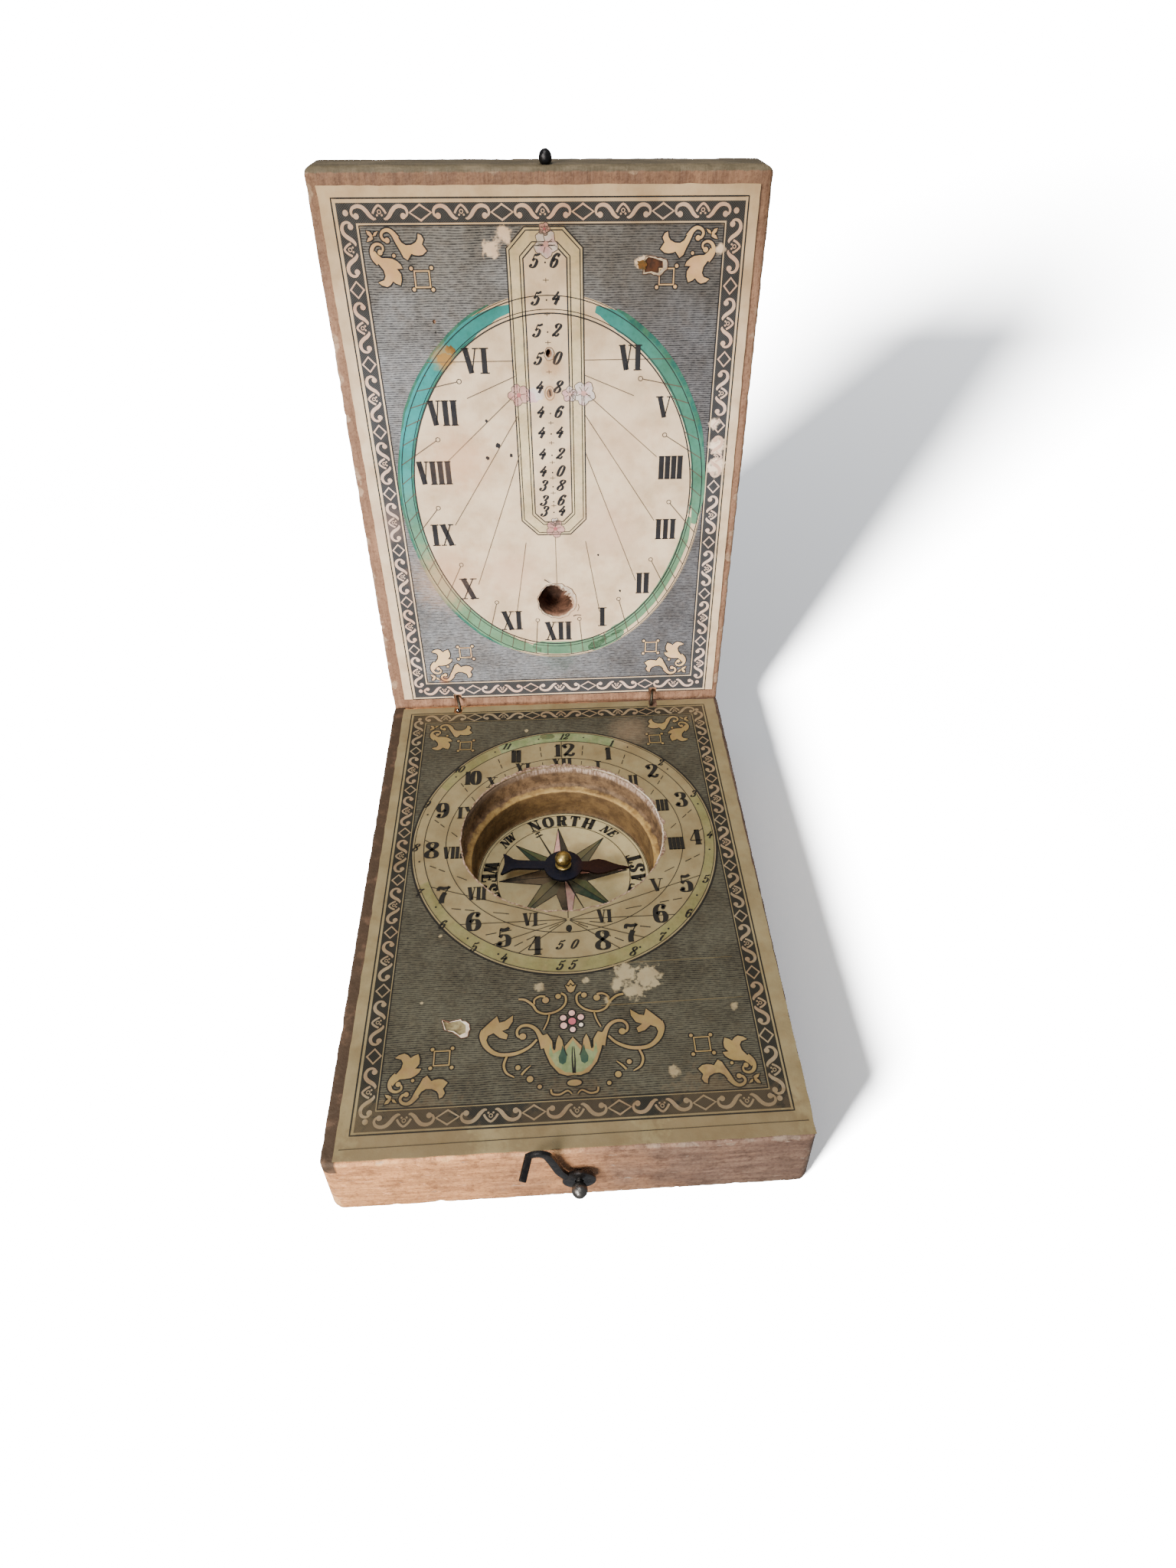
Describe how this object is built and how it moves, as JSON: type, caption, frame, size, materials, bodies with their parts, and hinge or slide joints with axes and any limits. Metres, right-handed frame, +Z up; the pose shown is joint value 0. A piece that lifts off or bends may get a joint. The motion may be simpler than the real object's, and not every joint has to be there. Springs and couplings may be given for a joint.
{
  "type": "pocket sundial",
  "caption": "Folding wooden pocket sundial: two leaves hinged on wire rings and lined with printed hour dials, a sunk compass with a turning needle, and a hook latch.",
  "frame": {"origin": "centre of the base leaf's underside, on the surface it stands on", "axes": "+Z up, +Y from the hook towards the hinge, +X to the right as seen from the hook"},
  "size_m": [0.066, 0.1106, 0.11],
  "materials": {
    "wood": "old stained hardwood, worn and chipped",
    "printed_paper": "aged laid paper, printed in black, hand coloured and glued to the leaf",
    "iron": "dark wrought iron, rubbed bright on high points",
    "steel": "plain",
    "blued_steel": "heat blued, worn",
    "brass": "turned, slightly tarnished"
  },
  "bodies": {
    "base": {"base_leaf": "wood", "base_dial_paper": "printed_paper", "compass_card": "printed_paper", "compass_pivot": "steel", "hook_pin": "iron", "hinge_ring_left": "iron", "hinge_ring_right": "iron"},
    "lid": {"lid_leaf": "wood", "lid_dial_paper": "printed_paper", "catch_stud": "iron"},
    "needle": {"compass_needle": "blued_steel", "needle_cap": "brass"},
    "hook": {"latch_hook": "iron"}
  },
  "joints": [
    {"name": "lid_hinge", "type": "hinge", "parent": "base", "child": "lid", "pos_m": [0, 0.04665, 0.01485], "axis": [-1, 0, 0], "range_deg": [-93.2, 86.8]},
    {"name": "needle_turn", "type": "hinge", "parent": "base", "child": "needle", "pos_m": [0, 0.0089, 0.0068], "axis": [0, 0, 1], "continuous": true},
    {"name": "hook_swing", "type": "hinge", "parent": "base", "child": "hook", "pos_m": [0.0006, -0.04745, 0.00795], "axis": [0, 1, 0], "range_deg": [-88, 165]}
  ]
}
